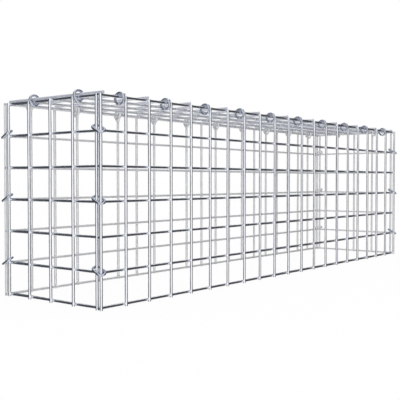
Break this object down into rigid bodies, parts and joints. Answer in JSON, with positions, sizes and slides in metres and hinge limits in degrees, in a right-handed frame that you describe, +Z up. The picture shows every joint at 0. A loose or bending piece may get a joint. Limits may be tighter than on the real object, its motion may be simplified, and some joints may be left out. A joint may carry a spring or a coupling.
{
  "type": "gabion basket",
  "caption": "Empty gabion basket of welded wire mesh with a closed lid and an open underside, its panels tied edge to edge with C-rings, to be filled with stones as a wall.",
  "frame": {"origin": "middle of the base, on the ground that the uprights stand on", "axes": "+X along the length, -Y out of the front, +Z up"},
  "size_m": [1.0142, 0.2308, 0.3152],
  "materials": {
    "mesh_wire": "bright galvanised drawn wire",
    "ring_wire": "bright galvanised drawn wire"
  },
  "bodies": {
    "root": {"front_panel": "mesh_wire", "back_panel": "mesh_wire", "left_end_panel": "mesh_wire", "right_end_panel": "mesh_wire", "lid_panel": "mesh_wire", "front_top_ring_1": "ring_wire", "front_top_ring_2": "ring_wire", "front_top_ring_3": "ring_wire", "front_top_ring_4": "ring_wire", "front_top_ring_5": "ring_wire", "front_top_ring_6": "ring_wire", "front_top_ring_7": "ring_wire", "front_top_ring_8": "ring_wire", "front_top_ring_9": "ring_wire", "front_top_ring_10": "ring_wire", "back_top_ring_1": "ring_wire", "back_top_ring_2": "ring_wire", "back_top_ring_3": "ring_wire", "back_top_ring_4": "ring_wire", "back_top_ring_5": "ring_wire", "back_top_ring_6": "ring_wire", "back_top_ring_7": "ring_wire", "back_top_ring_8": "ring_wire", "back_top_ring_9": "ring_wire", "back_top_ring_10": "ring_wire", "left_top_ring_1": "ring_wire", "left_top_ring_2": "ring_wire", "right_top_ring_1": "ring_wire", "right_top_ring_2": "ring_wire", "front_left_ring_1": "ring_wire", "front_left_ring_2": "ring_wire", "front_left_ring_3": "ring_wire", "front_right_ring_1": "ring_wire", "front_right_ring_2": "ring_wire", "front_right_ring_3": "ring_wire", "back_left_ring_1": "ring_wire", "back_left_ring_2": "ring_wire", "back_left_ring_3": "ring_wire", "back_right_ring_1": "ring_wire", "back_right_ring_2": "ring_wire", "back_right_ring_3": "ring_wire"}
  },
  "joints": []
}
